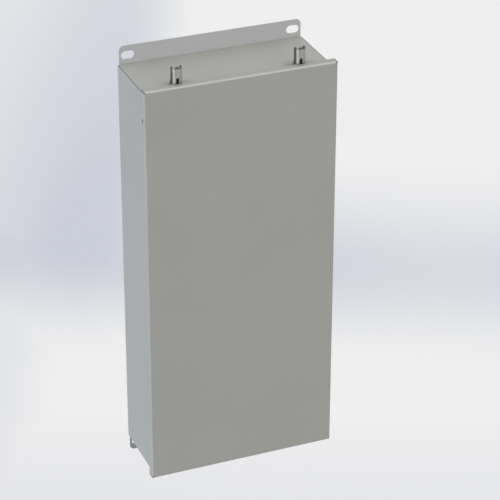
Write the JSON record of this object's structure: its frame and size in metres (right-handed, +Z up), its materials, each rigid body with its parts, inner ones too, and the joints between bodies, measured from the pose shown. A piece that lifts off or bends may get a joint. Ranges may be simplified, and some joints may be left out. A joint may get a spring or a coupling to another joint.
{
  "type": "wall-mounting electrical enclosure",
  "caption": "Tall narrow sheet-steel enclosure with a bottom-hinged gasketed cover, sprung latches on the top edge and slotted wall flanges.",
  "frame": {"origin": "centre of the four wall slots, in the plane of the wall behind the back", "axes": "+X to the right of someone facing the cover, +Y into the wall, +Z up"},
  "size_m": [0.287, 0.12, 0.6729],
  "materials": {
    "grey_powder_coat": "fine-textured grey powder coat",
    "panel_white": "smooth white enamel",
    "zinc_plate": "bright zinc plate",
    "stainless": "stamped stainless steel",
    "black_oxide": "black oxide",
    "spring_steel": "drawn spring wire",
    "dark_steel": "stamped steel with a dull passivated skin",
    "foam": "poured polyurethane foam"
  },
  "bodies": {
    "enclosure_body": {"body_wrap": "grey_powder_coat", "top_end_cap": "grey_powder_coat", "bottom_end_cap": "grey_powder_coat", "panel_studs": "zinc_plate", "mounting_panel": "panel_white", "panel_washers": "zinc_plate", "panel_nuts": "zinc_plate", "ground_stud": "zinc_plate", "ground_washer": "zinc_plate", "ground_nut": "zinc_plate", "hinge_body_leaf": "grey_powder_coat", "hinge_pin": "stainless", "latch_base_left": "dark_steel", "latch_base_right": "dark_steel", "latch_pin_left": "dark_steel", "latch_pin_right": "dark_steel", "latch_spring_left": "spring_steel", "latch_spring_right": "spring_steel"},
    "cover_assembly": {"cover": "grey_powder_coat", "cover_gasket": "foam", "hinge_cover_leaf": "grey_powder_coat", "cover_ground_stud": "zinc_plate", "cover_ground_washer": "zinc_plate", "cover_ground_nut": "zinc_plate"},
    "left_latch": {"latch_lever_left": "stainless", "latch_claw_left": "black_oxide"},
    "right_latch": {"latch_lever_right": "stainless", "latch_claw_right": "black_oxide"}
  },
  "joints": [
    {"name": "cover_hinge", "type": "hinge", "parent": "enclosure_body", "child": "cover_assembly", "pos_m": [0, -0.1052, -0.3074], "axis": [1, 0, 0], "range_deg": [0, 150]},
    {"name": "left_latch_pivot", "type": "hinge", "parent": "enclosure_body", "child": "left_latch", "pos_m": [-0.091, -0.1033, 0.3158], "axis": [-1, 0, 0], "range_deg": [0, 90], "stiffness_Nm_per_rad": 0.05, "springref_deg": -22.92, "deforming": ["latch_spring_left"]},
    {"name": "right_latch_pivot", "type": "hinge", "parent": "enclosure_body", "child": "right_latch", "pos_m": [0.091, -0.1033, 0.3158], "axis": [-1, 0, 0], "range_deg": [0, 90], "stiffness_Nm_per_rad": 0.05, "springref_deg": -22.92, "deforming": ["latch_spring_right"]}
  ]
}
